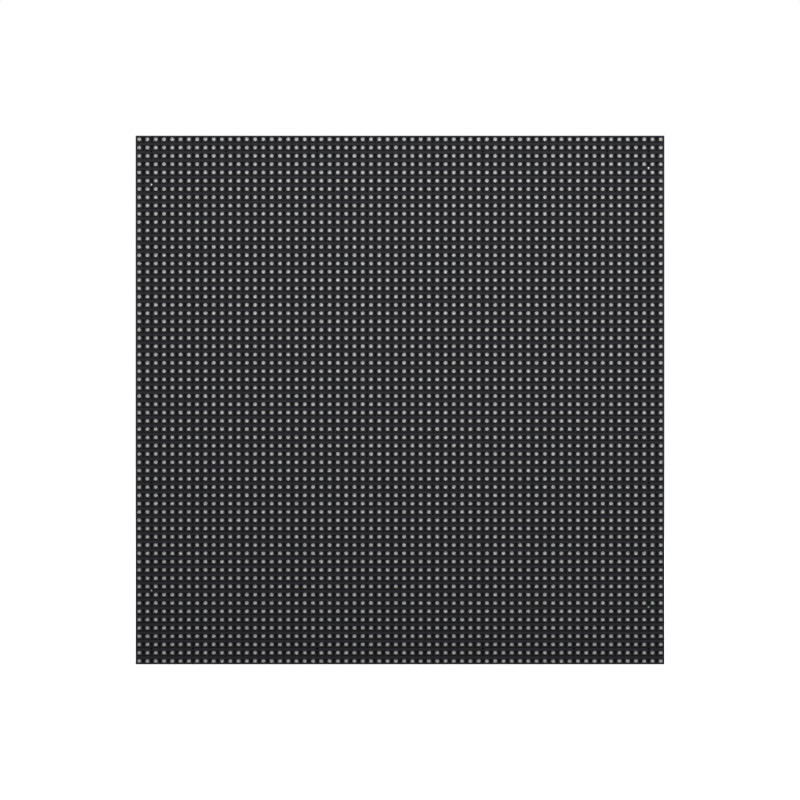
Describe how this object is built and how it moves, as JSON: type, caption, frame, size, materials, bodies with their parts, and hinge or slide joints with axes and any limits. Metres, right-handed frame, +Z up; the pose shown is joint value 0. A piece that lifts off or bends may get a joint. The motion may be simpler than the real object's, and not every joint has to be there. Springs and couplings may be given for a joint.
{
  "type": "led dot matrix",
  "caption": "Square full-colour dot matrix panel: surface-mount lamps behind a louvred black mask, driver board, ribbed rear frame with threaded inserts, data and power headers.",
  "frame": {"origin": "middle of the rear face, which is the centre of the rectangle of rear threaded inserts", "axes": "+Z up, display face towards -Y, +Y out of the rear; seen from the front, +X is to the right"},
  "size_m": [0.1914, 0.0146, 0.1914],
  "materials": {
    "mask_black": "fine matt moulded black",
    "lamp": "clear resin over a grey cup",
    "board": "green solder mask",
    "frame_black": "matt moulded black",
    "brass": "knurled",
    "screw_steel": "black plated",
    "pin_copper": "tinned over copper",
    "chip_black": "moulded epoxy",
    "tin": "tinned",
    "header_black": "moulded nylon",
    "gold_pin": "gold flash",
    "ivory": "natural nylon",
    "can": "drawn",
    "ceramic": "fired ceramic body",
    "resistor": "glazed black"
  },
  "bodies": {
    "root": {"front_mask": "mask_black", "led_lamps": "lamp", "circuit_board": "board", "locating_pins": "pin_copper", "rear_frame": "frame_black", "threaded_inserts": "brass", "frame_screws": "screw_steel", "column_drivers": "chip_black", "column_driver_leads": "tin", "row_drivers": "chip_black", "row_driver_leads": "tin", "line_buffers": "chip_black", "line_buffer_leads": "tin", "input_header": "header_black", "output_header": "header_black", "input_header_pins": "gold_pin", "output_header_pins": "gold_pin", "power_header": "ivory", "power_header_pins": "tin", "capacitor_cans": "can", "capacitor_bases": "header_black", "capacitor_feet": "tin", "ceramic_capacitors": "ceramic", "bias_resistors": "resistor", "resistor_arrays": "resistor"}
  },
  "joints": []
}
